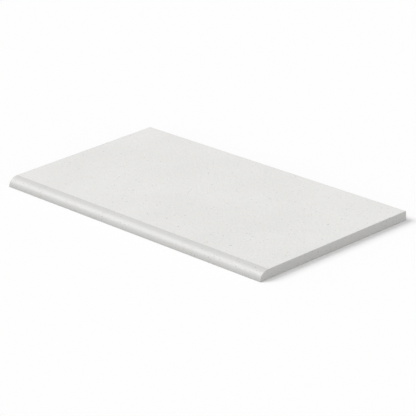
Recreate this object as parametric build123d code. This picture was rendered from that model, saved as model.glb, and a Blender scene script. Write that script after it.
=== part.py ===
from build123d import *
import os

# A stair tread tile: one slab of full-body porcelain, pressed, fired and ground in one piece, with a
# quarter-round nosing along its front. Sizes are in millimetres. X runs along the nosing, Y from the
# nosing to the back edge, and Z up. The origin is the middle of the outline, on the underside.

# Outline
tile_width = 600.0
tile_depth = 300.0
tile_thickness = 15.0

# The nosing leaves the underside upright and rolls back until it is level with the walking face.
nosing_depth = 18.0

# Bevels that break the ground edges
walking_face_bevel = 0.8
foot_bevel = 0.6

# Flat borders of the underside, between its edges and the keying relief
end_border = 12.0
back_border = 12.0
nosing_border = 24.0

# Keying relief: shallow square cells between ribs that are level with the borders
cell_pitch = 24.0
rib_width = 4.0
cell_depth = 0.8
cell_draft = 35.0

front = -tile_depth / 2
back = tile_depth / 2


def tread_section():
    """The tile seen from its end: a quarter ellipse for the nosing, closed by the three flat sides."""
    nosing_centre = (front + nosing_depth, 0)
    crest = (front + nosing_depth, tile_thickness)
    with BuildSketch(Plane.YZ.offset(-tile_width / 2)) as section:
        with BuildLine():
            EllipticalCenterArc(nosing_centre, nosing_depth, tile_thickness, start_angle=90, arc_size=90)
            Polyline(crest, (back, tile_thickness), (back, 0), (front, 0))
        make_face()
    return section.sketch


def slab():
    """The section drawn out along the nosing, with its ground edges broken."""
    body = extrude(tread_section(), tile_width)
    walking_face = body.faces().sort_by(Axis.Z)[-1]
    nosing_face = body.faces().filter_by(GeomType.PLANE, reverse=True)[0]
    crest_line = walking_face.edges().sort_by(Axis.Y)[0]
    foot_line = nosing_face.edges().sort_by(Axis.Z)[0]
    outer_edges = [
        edge
        for edge in walking_face.edges() + nosing_face.edges()
        if edge not in (crest_line, foot_line)
    ]
    body = chamfer(outer_edges, walking_face_bevel)
    foot_line = body.faces().sort_by(Axis.Z)[0].edges().sort_by(Axis.Y)[0]
    return chamfer(foot_line, foot_bevel)


def keying_relief():
    """The cells of the underside, as many whole ones as its borders leave room for."""
    field_width = tile_width - 2 * end_border
    field_depth = tile_depth - nosing_border - back_border
    columns = int((field_width + rib_width) // cell_pitch)
    rows = int((field_depth + rib_width) // cell_pitch)
    field_middle = Pos(0, front + nosing_border + field_depth / 2)
    cell_side = cell_pitch - rib_width
    cell = extrude(Rectangle(cell_side, cell_side), cell_depth, taper=cell_draft)
    cell_places = GridLocations(cell_pitch, cell_pitch, columns, rows)
    return [field_middle * place * cell for place in cell_places]


os.makedirs("parts", exist_ok=True)
tread_tile = slab() - keying_relief()
export_step(tread_tile, "parts/tread_tile.step")
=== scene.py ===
import math

import bpy
import numpy as np
from mathutils import Matrix, Vector, noise


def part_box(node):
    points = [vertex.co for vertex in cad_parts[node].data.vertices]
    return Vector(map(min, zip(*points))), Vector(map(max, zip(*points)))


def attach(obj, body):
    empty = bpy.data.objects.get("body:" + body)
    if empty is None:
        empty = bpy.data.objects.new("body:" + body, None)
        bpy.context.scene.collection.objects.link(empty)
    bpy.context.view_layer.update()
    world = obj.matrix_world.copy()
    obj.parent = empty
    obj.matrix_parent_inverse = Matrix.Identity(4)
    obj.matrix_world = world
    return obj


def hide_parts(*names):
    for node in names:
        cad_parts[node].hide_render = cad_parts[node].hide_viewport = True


# The looks of a stair tread tile: one slab of pale full-body porcelain, lying on a white floor. Sizes are
# in metres, in the frame's own axes: X along the nosing, Y from the nosing to the back edge, Z up.

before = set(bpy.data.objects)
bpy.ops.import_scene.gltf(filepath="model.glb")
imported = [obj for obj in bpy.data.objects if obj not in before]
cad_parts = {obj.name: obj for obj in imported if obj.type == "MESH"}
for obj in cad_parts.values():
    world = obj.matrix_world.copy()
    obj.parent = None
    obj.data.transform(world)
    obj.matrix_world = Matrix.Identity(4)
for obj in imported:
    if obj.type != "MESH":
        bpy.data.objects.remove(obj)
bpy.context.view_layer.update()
tile_low, tile_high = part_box("tread_tile")

mm = 0.001

# Outline, from the frame
end_x = tile_high.x
front_y = tile_low.y
back_y = tile_high.y
bed_z = tile_low.z
face_z = tile_high.z
thickness = face_z - bed_z

# Nosing: a quarter ellipse, level at the crest and upright where it would meet the bed. The origin is
# the middle of the outline, so that place is as far forward as the back edge is back.
nosing_depth = 18 * mm
crest_y = nosing_depth - back_y

# Rounded arrises where the ground edges meet the faces. The ends' is the smallest: the end caps are the
# section drawn in by it, and their outline stays round only while it is under the section's own radii.
arris = 0.8 * mm
foot_arris = 0.6 * mm
end_arris = 0.5 * mm

# Keying relief of the underside: square cells with rounded corners, between ribs
cell_pitch = 24 * mm
rib_width = 4 * mm
cell_depth = 0.8 * mm
cell_wall = 0.9 * mm
cell_corner = 2.6 * mm
end_border = 12 * mm
back_border = 12 * mm
nosing_border = 24 * mm

# Pressed face: long, very low waves that fade out before the edges
wave_depth = 0.09 * mm
wave_length = 70 * mm
wave_fade = 9 * mm

# The waves are one slice of a noise in space. Each octave is shorter than the last by the ratio, and
# lower by the ratio to the power of the fall. The contrast says how much of the depth the noise uses.
wave_slice = 7.3
wave_octaves = 3
wave_ratio = 2.0
wave_fall = 1.0
wave_contrast = 0.6

# Mesh spacing, and how near two places are when they are the same but for rounding
face_step = 3.5 * mm
nosing_steps = 24
arris_steps = 4
floor_steps = 3
same_place = 0.0001 * mm

# The flat UV map that the finishes are baked through, and the bare strip round each of its parts
flat_map = "OFBake"
map_gap = 4 * mm


def smooth(t):
    """An easing from 0 to 1 that is level at both ends."""
    t = np.clip(t, 0.0, 1.0)
    return t * t * (3.0 - 2.0 * t)


def even_steps(start, stop, step):
    """Stations from start to stop, both included, at most a step apart."""
    count = max(1, math.ceil(abs(stop - start) / step))
    return np.linspace(start, stop, count + 1)


class Field:
    """The cells of the keying relief along one axis: where the row of cells starts and how many it has."""

    def __init__(self, low, high):
        self.count = int((high - low + rib_width + same_place) // cell_pitch)
        middle = (low + high) / 2
        self.start = middle - self.count * cell_pitch / 2
        self.stop = middle + self.count * cell_pitch / 2

    def inside(self, place):
        """How far a place lies inside its cell's wall, along this axis alone. On a rib it is negative."""
        from_middle = np.abs((place - self.start) % cell_pitch - cell_pitch / 2)
        depth_in = (cell_pitch - rib_width) / 2 - from_middle
        outside = (place < self.start) | (place > self.stop)
        return np.where(outside, -rib_width, depth_in)

    def stations(self, low, high):
        """Mesh lines from low to high that follow each cell's ribs, walls, corners and floor."""
        rib_edge = rib_width / 2
        half_round = (cell_wall + cell_corner) / 2
        near_side = rib_edge + np.array([0.0, cell_wall / 2, cell_wall, half_round])
        floor_start = rib_edge + cell_corner
        floor = np.linspace(floor_start, cell_pitch - floor_start, floor_steps + 1)
        in_cell = np.concatenate([[0.0], near_side, floor, cell_pitch - near_side[::-1]])
        cells = [self.start + cell * cell_pitch + in_cell for cell in range(self.count)]
        before = even_steps(low, self.start, face_step)[:-1]
        after = even_steps(self.stop, high, face_step)
        return np.concatenate([before, *cells, after])


field_x = Field(-end_x + end_border, end_x - end_border)
field_y = Field(front_y + nosing_border, back_y - back_border)


def cell_relief(x, y):
    """How deep the underside is pressed in at a place: flat cells with rounded corners between ribs."""
    in_x = field_x.inside(x)
    in_y = field_y.inside(y)
    corner_x = np.maximum(cell_corner - in_x, 0.0)
    corner_y = np.maximum(cell_corner - in_y, 0.0)
    inside = cell_corner - np.hypot(corner_x, corner_y)
    return cell_depth * smooth(inside / cell_wall)


def face_waves(x, y):
    """How far the pressed walking face lies under its highest level: long waves, none at the edges."""
    to_end = end_x - end_arris - np.abs(x)
    to_edge = np.minimum(np.minimum(to_end, y - crest_y), back_y - arris - y)
    places = [Vector((a / wave_length, b / wave_length, wave_slice)) for a, b in zip(x.ravel(), y.ravel())]
    swell = [noise.fractal(place, wave_fall, wave_ratio, wave_octaves) for place in places]
    swell = np.array(swell).reshape(x.shape)
    return wave_depth * smooth(to_edge / wave_fade) * np.clip(0.5 + wave_contrast * swell, 0.0, 1.0)


def elliptical_arc(centre, radius_y, radius_z, start, stop, steps):
    """Points and outward normals of an arc in the section, between two angles from +Y."""
    angles = np.radians(np.linspace(start, stop, steps + 1))
    points = np.column_stack([
        centre[0] + radius_y * np.cos(angles),
        centre[1] + radius_z * np.sin(angles),
    ])
    normals = np.column_stack([np.cos(angles) / radius_y, np.sin(angles) / radius_z])
    return points, normals / np.linalg.norm(normals, axis=1)[:, None]


def straight(ys, z, up):
    """Points and outward normals of a level stretch of the section, facing up or down."""
    points = np.column_stack([ys, np.full(len(ys), z)])
    return points, np.tile([0.0, 1.0 if up else -1.0], (len(ys), 1))


def section():
    """The section from the foot over the nosing and the face, down the back and home along the bed.

    Returns the loop's points, its outward normals and, for each step of the loop, the zone it is in.
    """
    foot = elliptical_arc(
        (front_y + foot_arris, bed_z + foot_arris), foot_arris, foot_arris, 270, 180, arris_steps
    )
    # The nosing's ellipse takes over from the foot's arris at the arris's height.
    foot_angle = math.degrees(math.asin(foot_arris / thickness))
    nosing = elliptical_arc((crest_y, bed_z), nosing_depth, thickness, 180 - foot_angle, 90, nosing_steps)
    face = straight(even_steps(crest_y, back_y - arris, face_step), face_z, True)
    back_top = elliptical_arc((back_y - arris, face_z - arris), arris, arris, 90, 0, arris_steps)
    back_foot = elliptical_arc(
        (back_y - foot_arris, bed_z + foot_arris), foot_arris, foot_arris, 0, -90, arris_steps
    )
    bed_ys = field_y.stations(front_y + foot_arris, back_y - foot_arris)[::-1]
    bed = straight(bed_ys, bed_z, False)

    # Where a stretch starts at the last one's end, that point is kept once, and its step is the new
    # stretch's. The loop's last point is its first again, and is left out.
    points, normals, zones = [], [], []
    stretches = (
        ("nosing", foot), ("nosing", nosing), ("face", face),
        ("edge", back_top), ("edge", back_foot), ("bed", bed),
    )
    for zone, (stretch_points, stretch_normals) in stretches:
        for point, normal in zip(stretch_points, stretch_normals):
            if points and np.allclose(points[-1], point, atol=same_place):
                zones[-1] = zone
                continue
            points.append(point)
            normals.append(normal)
            zones.append(zone)
    return np.array(points[:-1]), np.array(normals[:-1]), zones[:-1]


def rings():
    """Stations along X, each with how far its section is drawn in: the ends have rounded arrises."""
    stations = field_x.stations(-end_x + end_arris, end_x - end_arris)
    turns = np.radians(np.linspace(0, 90, arris_steps + 1))[1:]
    arris_x = end_x - end_arris + end_arris * np.sin(turns)
    arris_in = end_arris * (1.0 - np.cos(turns))
    xs = np.concatenate([-arris_x[::-1], stations, arris_x])
    drawn_in = np.concatenate([arris_in[::-1], np.zeros(len(stations)), arris_in])
    return xs, drawn_in


def cap_triangles(points):
    """Triangles that fill the section, each from its upper side to its lower one, front to back.

    At each turn, the side whose next point is further forward moves on by one point.
    """
    front = int(np.argmin(points[:, 0]))
    top_back = int(np.argmax(points[:, 0] + points[:, 1]))
    upper = list(range(front, top_back + 1))
    lower = list(range(front, -1, -1)) + list(range(len(points) - 1, top_back, -1))
    triangles = [(front, upper[1], lower[1])]
    at_upper, at_lower = 1, 1
    while at_upper < len(upper) - 1 or at_lower < len(lower) - 1:
        next_upper = points[upper[at_upper + 1], 0] if at_upper < len(upper) - 1 else np.inf
        next_lower = points[lower[at_lower + 1], 0] if at_lower < len(lower) - 1 else np.inf
        if next_upper <= next_lower:
            triangles.append((upper[at_upper], upper[at_upper + 1], lower[at_lower]))
            at_upper += 1
        else:
            triangles.append((upper[at_upper], lower[at_lower + 1], lower[at_lower]))
            at_lower += 1
    return np.array(triangles)


def running_length(a, b):
    """The length run along a line through points, up to each of them."""
    return np.concatenate([[0.0], np.cumsum(np.hypot(np.diff(a), np.diff(b)))])


def laid_flat(points, xs, drawn_in, cap):
    """Where each face's corners lie on the map: the skin rolled out at one scale, and the caps above."""
    closed = np.vstack([points, points[:1]])
    along = running_length(xs, drawn_in)
    around = running_length(closed[:, 0], closed[:, 1])
    sheet = np.stack(np.meshgrid(along, around), axis=-1)
    quads = np.stack([sheet[:-1, :-1], sheet[:-1, 1:], sheet[1:, 1:], sheet[1:, :-1]], axis=2)

    from_front, height = points[:, 0] - front_y, points[:, 1] - bed_z
    above = around[-1] + map_gap + height
    left_cap = np.column_stack([back_y - points[:, 0], above])
    right_cap = np.column_stack([back_y - front_y + map_gap + from_front, above])
    corners = np.concatenate([
        quads.reshape(-1, 2),
        left_cap[cap].reshape(-1, 2),
        right_cap[cap[:, ::-1]].reshape(-1, 2),
    ])
    return (corners + map_gap) / (corners.max() + 2 * map_gap)


def skin_points(points, normals, zones, xs, drawn_in):
    """The skin's vertices: a row for each point of the section, with one vertex for each ring."""
    x = np.repeat(xs[None, :], len(points), axis=0)
    y = points[:, 0:1] - normals[:, 0:1] * drawn_in
    z = points[:, 1:2] - normals[:, 1:2] * drawn_in
    on_face = np.array([zone == "face" for zone in zones])
    on_bed = np.array([zone == "bed" for zone in zones])
    z[on_face] -= face_waves(x[on_face], y[on_face])
    z[on_bed] += cell_relief(x[on_bed], y[on_bed])
    return np.stack([x, y, z], axis=-1)


def skin_faces(rows, columns, cap):
    """The skin's faces: its quads row by row, then the triangles of the left cap and of the right one."""
    index = np.arange(rows * columns).reshape(rows, columns)
    ahead = np.roll(index, -1, axis=0)
    quads = np.stack([index[:, :-1], index[:, 1:], ahead[:, 1:], ahead[:, :-1]], axis=-1)
    left_cap = index[cap, 0]
    right_cap = index[cap[:, ::-1], -1]
    return quads.reshape(-1, 4).tolist() + left_cap.tolist() + right_cap.tolist()


def face_slots(zones, drawn_in, cap, zone_slots):
    """The material slot of each face: its zone's own, or the edges' on the rounded ends and the caps."""
    flat_columns = (drawn_in[:-1] + drawn_in[1:]) == 0
    slots = []
    for zone in zones:
        slots += [zone_slots[zone] if flat else zone_slots["edge"] for flat in flat_columns]
    return slots + [zone_slots["edge"]] * (2 * len(cap))


def tile_mesh(zone_slots):
    """The whole tile as one closed skin: the section carried along X, with a flat cap at each end."""
    points, normals, zones = section()
    xs, drawn_in = rings()
    cap = cap_triangles(points)
    places = skin_points(points, normals, zones, xs, drawn_in)
    faces = skin_faces(len(points), len(xs), cap)

    mesh = bpy.data.meshes.new("porcelain_tread")
    mesh.from_pydata(places.reshape(-1, 3).tolist(), [], faces)
    mesh.polygons.foreach_set("material_index", face_slots(zones, drawn_in, cap, zone_slots))
    mesh.polygons.foreach_set("use_smooth", [True] * len(faces))
    layout = mesh.uv_layers.new(name=flat_map)
    layout.uv.foreach_set("vector", laid_flat(points, xs, drawn_in, cap).ravel())
    mesh.update()
    return mesh


class Nodes:
    """A material's node tree, with short calls for the nodes that the finishes share."""

    def __init__(self, name):
        self.material = bpy.data.materials.new(name)
        self.material.use_nodes = True
        self.tree = self.material.node_tree
        self.shader = self.tree.nodes["Principled BSDF"]
        self.place = self.tree.nodes.new("ShaderNodeTexCoord").outputs["Object"]

    def new(self, kind, inputs=(), **settings):
        """A node with its settings, and its inputs set to values or linked to other nodes' outputs."""
        node = self.tree.nodes.new(kind)
        for key, value in settings.items():
            setattr(node, key, value)
        for socket, value in dict(inputs).items():
            self.put(value, node.inputs[socket])
        return node

    def put(self, value, socket):
        """Links an output to a socket, or sets the socket's own value."""
        if isinstance(value, bpy.types.NodeSocket):
            self.tree.links.new(value, socket)
        else:
            socket.default_value = value

    def noise(self, per_metre, detail=2.0):
        """Soft noise around 0.5, with about so many features in a metre."""
        inputs = {"Vector": self.place, "Scale": per_metre, "Detail": detail}
        return self.new("ShaderNodeTexNoise", inputs).outputs["Fac"]

    def drawn_out_noise(self, per_metre):
        """Soft noise around 0.5, with its own number of features in a metre along each axis."""
        place = self.new("ShaderNodeVectorMath", {0: self.place, 1: per_metre}, operation="MULTIPLY")
        inputs = {"Vector": place.outputs[0], "Scale": 1.0, "Detail": 2.0}
        return self.new("ShaderNodeTexNoise", inputs).outputs["Fac"]

    def remap(self, value, span, onto):
        """A value's span carried over onto another one, and held at its ends."""
        inputs = {
            "Value": value,
            "From Min": span[0],
            "From Max": span[1],
            "To Min": onto[0],
            "To Max": onto[1],
        }
        return self.new("ShaderNodeMapRange", inputs).outputs["Result"]

    def math(self, operation, a, b):
        """One operation on two values."""
        return self.new("ShaderNodeMath", {0: a, 1: b}, operation=operation).outputs[0]

    def mix(self, share, a, b):
        """Two colours mixed, with a share of the second."""
        node = self.new("ShaderNodeMix", data_type="RGBA")
        first, second = [socket for socket in node.inputs if socket.type == "RGBA"]
        self.put(share, node.inputs["Factor"])
        self.put(a, first)
        self.put(b, second)
        return next(socket for socket in node.outputs if socket.type == "RGBA")

    def pushed(self, size, reach):
        """The place on the tile, pushed about by up to a reach, so that what lies there isn't round."""
        inputs = {"Vector": self.place, "Scale": 1 / size, "Detail": 2.0}
        push = self.new("ShaderNodeTexNoise", inputs).outputs["Color"]
        centred = self.new("ShaderNodeVectorMath", {0: push, 1: (0.5, 0.5, 0.5)}, operation="SUBTRACT")
        inputs = {0: centred.outputs[0], "Scale": 2 * reach}
        reached = self.new("ShaderNodeVectorMath", inputs, operation="SCALE")
        inputs = {0: self.place, 1: reached.outputs[0]}
        return self.new("ShaderNodeVectorMath", inputs, operation="ADD").outputs[0]

    def grains(self, size, share):
        """Irregular grains of up to a size, each as strong as chance makes it, in a share of the places.

        A grain's radius and the soft rim inside it are shares of the size.
        """
        radii = (0.16, 0.46)
        rim = 0.12
        strengths = (0.25, 1.0)
        place = self.pushed(size=0.5 * size, reach=0.45 * size)
        cells = self.new("ShaderNodeTexVoronoi", {"Vector": place, "Scale": 1 / size})
        draws = self.new("ShaderNodeSeparateColor", {"Color": cells.outputs["Color"]})
        chance, girth, strength = draws.outputs
        chosen = self.math("LESS_THAN", chance, share)
        radius = self.remap(girth, (0.0, 1.0), radii)
        inside = self.math("SUBTRACT", radius, cells.outputs["Distance"])
        body = self.remap(inside, (0.0, rim), (0.0, 1.0))
        weight = self.remap(strength, (0.0, 1.0), strengths)
        return self.math("MULTIPLY", self.math("MULTIPLY", chosen, body), weight)


def colour(red, green, blue):
    """An opaque colour."""
    return (red, green, blue, 1.0)


def shade(tone, red, green=None, blue=None):
    """A colour with its channels scaled, all by the first share unless others are given."""
    green = red if green is None else green
    blue = red if blue is None else blue
    return colour(tone[0] * red, tone[1] * green, tone[2] * blue)


# The body: its tone, and the shares of it that its large clouds, its warm mottle and its sand have
body_tone = colour(0.835, 0.832, 0.822)
cloud_share = (0.945, 0.945, 0.94)
mottle_share = (0.985, 0.965, 0.93)
sand_share = 0.88
sand_size = 0.55 * mm

# The body's kinds of grain: the size of the largest, the share of the places they take, their colour
grain_kinds = (
    (0.9 * mm, 0.34, shade(body_tone, 0.76)),
    (1.6 * mm, 0.20, shade(body_tone, 0.58)),
    (2.4 * mm, 0.09, shade(body_tone, 0.52, 0.50, 0.47)),
    (3.2 * mm, 0.04, shade(body_tone, 0.46)),
    (2.0 * mm, 0.14, colour(0.93, 0.93, 0.925)),
)

# The chalky wash of the underside, and the darker tone that its cells take in patches, as a share of the
# body's tone
wash_tone = colour(0.86, 0.86, 0.85)
darker_cell_share = (0.60, 0.585, 0.56)


def body_colour(nodes, share, grain_share):
    """One pale body, clouded, mottled and sandy, with its grains all through."""
    body = shade(body_tone, share)
    clouds = nodes.remap(nodes.noise(per_metre=9, detail=3.0), (0.35, 0.65), (0.0, 1.0))
    tone = nodes.mix(clouds, body, shade(body, *cloud_share))
    mottle = nodes.remap(nodes.noise(per_metre=75), (0.42, 0.68), (0.0, 0.6))
    tone = nodes.mix(mottle, tone, shade(body, *mottle_share))

    sand = nodes.new("ShaderNodeTexVoronoi", {"Vector": nodes.place, "Scale": 1 / sand_size})
    draws = nodes.new("ShaderNodeSeparateColor", {"Color": sand.outputs["Color"]})
    chance = draws.outputs["Red"]
    tone = nodes.mix(nodes.remap(chance, (0.0, 1.0), (0.0, 0.5)), tone, shade(body, sand_share))
    for size, places, grain in grain_kinds:
        grains = nodes.math("MULTIPLY", nodes.grains(size, places), grain_share)
        tone = nodes.mix(grains, tone, shade(grain, share))
    return tone


def porcelain(name, share, grain_share, roughness, texture, coat=None):
    """Full-body porcelain in a given finish.

    share scales the body's tone and grain_share how far the grains show. texture is a function that takes
    the nodes and gives the height of the fine surface texture, in metres. coat is one that takes the
    nodes and the tone, and gives the tone with what lies on the surface.
    """
    nodes = Nodes(name)
    tone = body_colour(nodes, share, grain_share)
    if coat:
        tone = coat(nodes, tone)
    nodes.put(tone, nodes.shader.inputs["Base Color"])

    smoothest, roughest = roughness - 0.06, roughness + 0.08
    nodes.put(
        nodes.remap(nodes.noise(per_metre=420), (0.3, 0.7), (smoothest, roughest)),
        nodes.shader.inputs["Roughness"],
    )
    nodes.shader.inputs["IOR"].default_value = 1.53
    bump = nodes.new("ShaderNodeBump", {"Height": texture(nodes), "Distance": 1.0, "Strength": 1.0})
    nodes.put(bump.outputs["Normal"], nodes.shader.inputs["Normal"])
    return nodes.material


def pressed_texture(nodes):
    """The walking face: a fine pressed grain for grip, over a softer orange peel."""
    grain_height = 0.30 * mm
    peel_height = 0.6 * mm
    grain = nodes.math("MULTIPLY", nodes.noise(per_metre=1000), grain_height)
    peel = nodes.math("MULTIPLY", nodes.noise(per_metre=190), peel_height)
    return nodes.math("ADD", grain, peel)


def honed_texture(nodes):
    """The nosing: faint lines left along it by the profile wheel."""
    line_height = 0.04 * mm
    lines = nodes.drawn_out_noise(per_metre=(9.0, 1500.0, 1500.0))
    return nodes.math("MULTIPLY", lines, line_height)


def ground_texture(nodes):
    """The squared edges: close marks of the squaring wheel, up and down."""
    mark_height = 0.30 * mm
    marks = nodes.drawn_out_noise(per_metre=(900.0, 900.0, 60.0))
    return nodes.math("MULTIPLY", marks, mark_height)


def biscuit_texture(nodes):
    """The underside: dry and open, as it came from the kiln rollers."""
    grain_height = 0.22 * mm
    return nodes.math("MULTIPLY", nodes.noise(per_metre=900, detail=3.0), grain_height)


def kiln_wash(nodes, tone):
    """The chalky wash that kept the tile off the kiln rollers: on the ribs and borders, thin in patches.

    The cells are darker in patches, with none near the ribs and the most on their floors.
    """
    darkening_heights = (bed_z + 0.2 * mm, bed_z + cell_depth)
    wash_heights = (bed_z + 0.05 * mm, bed_z + 0.4 * mm)
    height = nodes.new("ShaderNodeSeparateXYZ", {"Vector": nodes.place}).outputs["Z"]

    # Darkening in patches that grows with depth into the cells and is strongest on their floors
    cell_patches = nodes.remap(nodes.noise(per_metre=55, detail=4.0), (0.3, 0.7), (0.15, 0.65))
    in_cells = nodes.remap(height, darkening_heights, (0.0, 1.0))
    darker_in_cells = nodes.math("MULTIPLY", in_cells, cell_patches)
    tone = nodes.mix(darker_in_cells, tone, shade(body_tone, *darker_cell_share))

    patches = nodes.remap(nodes.noise(per_metre=24, detail=5.0), (0.36, 0.60), (0.25, 0.95))
    brushed = nodes.drawn_out_noise(per_metre=(6.0, 130.0, 1.0))
    streaks = nodes.remap(brushed, (0.35, 0.6), (0.55, 1.0))
    on_ribs = nodes.remap(height, wash_heights, (1.0, 0.0))
    wash = nodes.math("MULTIPLY", on_ribs, nodes.math("MULTIPLY", patches, streaks))
    return nodes.mix(wash, tone, wash_tone)


finishes = {
    "face": porcelain(
        "porcelain_pressed_face", share=1.0, grain_share=0.75, roughness=0.62, texture=pressed_texture
    ),
    "nosing": porcelain(
        "porcelain_honed_nosing", share=0.79, grain_share=1.0, roughness=0.38, texture=honed_texture
    ),
    "edge": porcelain(
        "porcelain_ground_edge", share=0.90, grain_share=0.9, roughness=0.58, texture=ground_texture
    ),
    "bed": porcelain(
        "porcelain_biscuit_bed", share=0.80, grain_share=0.35, roughness=0.85, texture=biscuit_texture,
        coat=kiln_wash,
    ),
}


def add_tile():
    """The tile as one piece, standing in for the frame's plain solid."""
    zone_slots = {zone: number for number, zone in enumerate(finishes)}
    mesh = tile_mesh(zone_slots)
    for material in finishes.values():
        mesh.materials.append(material)
    tile = bpy.data.objects.new("porcelain_tread", mesh)
    bpy.context.scene.collection.objects.link(tile)

    # The largest faces decide the normals, so that the flats look flat right up to their arrises.
    even = tile.modifiers.new("even_normals", "WEIGHTED_NORMAL")
    even.mode = "FACE_AREA"
    even.weight = 100

    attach(tile, "root")
    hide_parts("tread_tile")


def add_floor():
    """A wide white floor that takes the tile's shadow. Only the camera sees it at its full white."""
    half = 60.0
    floor_z = bed_z - 0.05 * mm
    seen_tone = colour(1.0, 1.0, 1.0)
    bounced_tone = colour(0.62, 0.62, 0.62)

    corners = [(-half, -half), (half, -half), (half, half), (-half, half)]
    mesh = bpy.data.meshes.new("floor")
    mesh.from_pydata([(x, y, floor_z) for x, y in corners], [], [(0, 1, 2, 3)])
    floor = bpy.data.objects.new("floor", mesh)
    bpy.context.scene.collection.objects.link(floor)

    material = bpy.data.materials.new("white_floor")
    material.use_nodes = True
    tree = material.node_tree
    tree.nodes.clear()
    output = tree.nodes.new("ShaderNodeOutputMaterial")
    rays = tree.nodes.new("ShaderNodeLightPath")
    seen = tree.nodes.new("ShaderNodeBsdfDiffuse")
    seen.inputs["Color"].default_value = seen_tone
    bounced = tree.nodes.new("ShaderNodeBsdfDiffuse")
    bounced.inputs["Color"].default_value = bounced_tone
    choice = tree.nodes.new("ShaderNodeMixShader")
    tree.links.new(rays.outputs["Is Camera Ray"], choice.inputs["Fac"])
    tree.links.new(bounced.outputs[0], choice.inputs[1])
    tree.links.new(seen.outputs[0], choice.inputs[2])
    tree.links.new(choice.outputs[0], output.inputs["Surface"])
    mesh.materials.append(material)


def towards(azimuth, elevation):
    """The direction from the tile to what looks or shines at it. Azimuth 0 is at -Y and 90 at +X."""
    turn = math.radians(azimuth)
    rise = math.radians(elevation)
    return Vector((
        math.sin(turn) * math.cos(rise),
        -math.cos(turn) * math.cos(rise),
        math.sin(rise),
    ))


def add_sun(name, azimuth, elevation, strength, spread):
    """A far, soft lamp."""
    data = bpy.data.lights.new(name, "SUN")
    data.energy = strength
    data.angle = math.radians(spread)
    lamp = bpy.data.objects.new(name, data)
    lamp.rotation_mode = "QUATERNION"
    lamp.rotation_quaternion = towards(azimuth, elevation).to_track_quat("Z", "Y")
    bpy.context.scene.collection.objects.link(lamp)


def add_room():
    """A pale room that lights the tile, and that shows nearly white behind it and in its gloss."""
    lighting_strength = 0.55
    seen_strength = 0.99

    world = bpy.data.worlds.new("studio")
    bpy.context.scene.world = world
    world.use_nodes = True
    tree = world.node_tree
    background = tree.nodes["Background"]
    background.inputs["Color"].default_value = colour(1.0, 1.0, 1.0)
    rays = tree.nodes.new("ShaderNodeLightPath")
    seen = tree.nodes.new("ShaderNodeMath")
    seen.operation = "ADD"
    tree.links.new(rays.outputs["Is Camera Ray"], seen.inputs[0])
    tree.links.new(rays.outputs["Is Glossy Ray"], seen.inputs[1])
    either = tree.nodes.new("ShaderNodeMath")
    either.operation = "ADD"
    either.use_clamp = True
    tree.links.new(seen.outputs[0], either.inputs[0])
    tree.links.new(rays.outputs["Is Transmission Ray"], either.inputs[1])
    strength = tree.nodes.new("ShaderNodeMapRange")
    strength.inputs["To Min"].default_value = lighting_strength
    strength.inputs["To Max"].default_value = seen_strength
    tree.links.new(either.outputs[0], strength.inputs["Value"])
    tree.links.new(strength.outputs["Result"], background.inputs["Strength"])


def add_camera():
    """The drawing's view, with the camera that fits its corners best.

    It looks at a place a little to the right of the origin and under it, as the camera sees them.
    """
    azimuth = 50.24
    elevation = 21.75
    roll = math.radians(-4.39)
    distance = 3.779
    aim_right = 0.0106
    aim_up = -0.0080

    back = towards(azimuth, elevation)
    level = towards(azimuth + 90, 0)
    upright = back.cross(level)
    right = level * math.cos(roll) + upright * math.sin(roll)
    up = upright * math.cos(roll) - level * math.sin(roll)

    data = bpy.data.cameras.new("camera")
    data.lens = 209.5
    data.sensor_width = 36.0
    data.clip_end = 200.0
    camera = bpy.data.objects.new("camera", data)
    turn = Matrix((right, up, back)).transposed().to_4x4()
    camera.matrix_world = Matrix.Translation(right * aim_right + up * aim_up + back * distance) @ turn
    bpy.context.scene.collection.objects.link(camera)
    bpy.context.scene.camera = camera


add_tile()
add_floor()
add_sun("key", azimuth=-60, elevation=45, strength=1.74, spread=40)
add_sun("fill", azimuth=80, elevation=25, strength=0.35, spread=60)
add_room()
add_camera()
bpy.context.scene.view_settings.view_transform = "Standard"

bpy.context.view_layer.update()
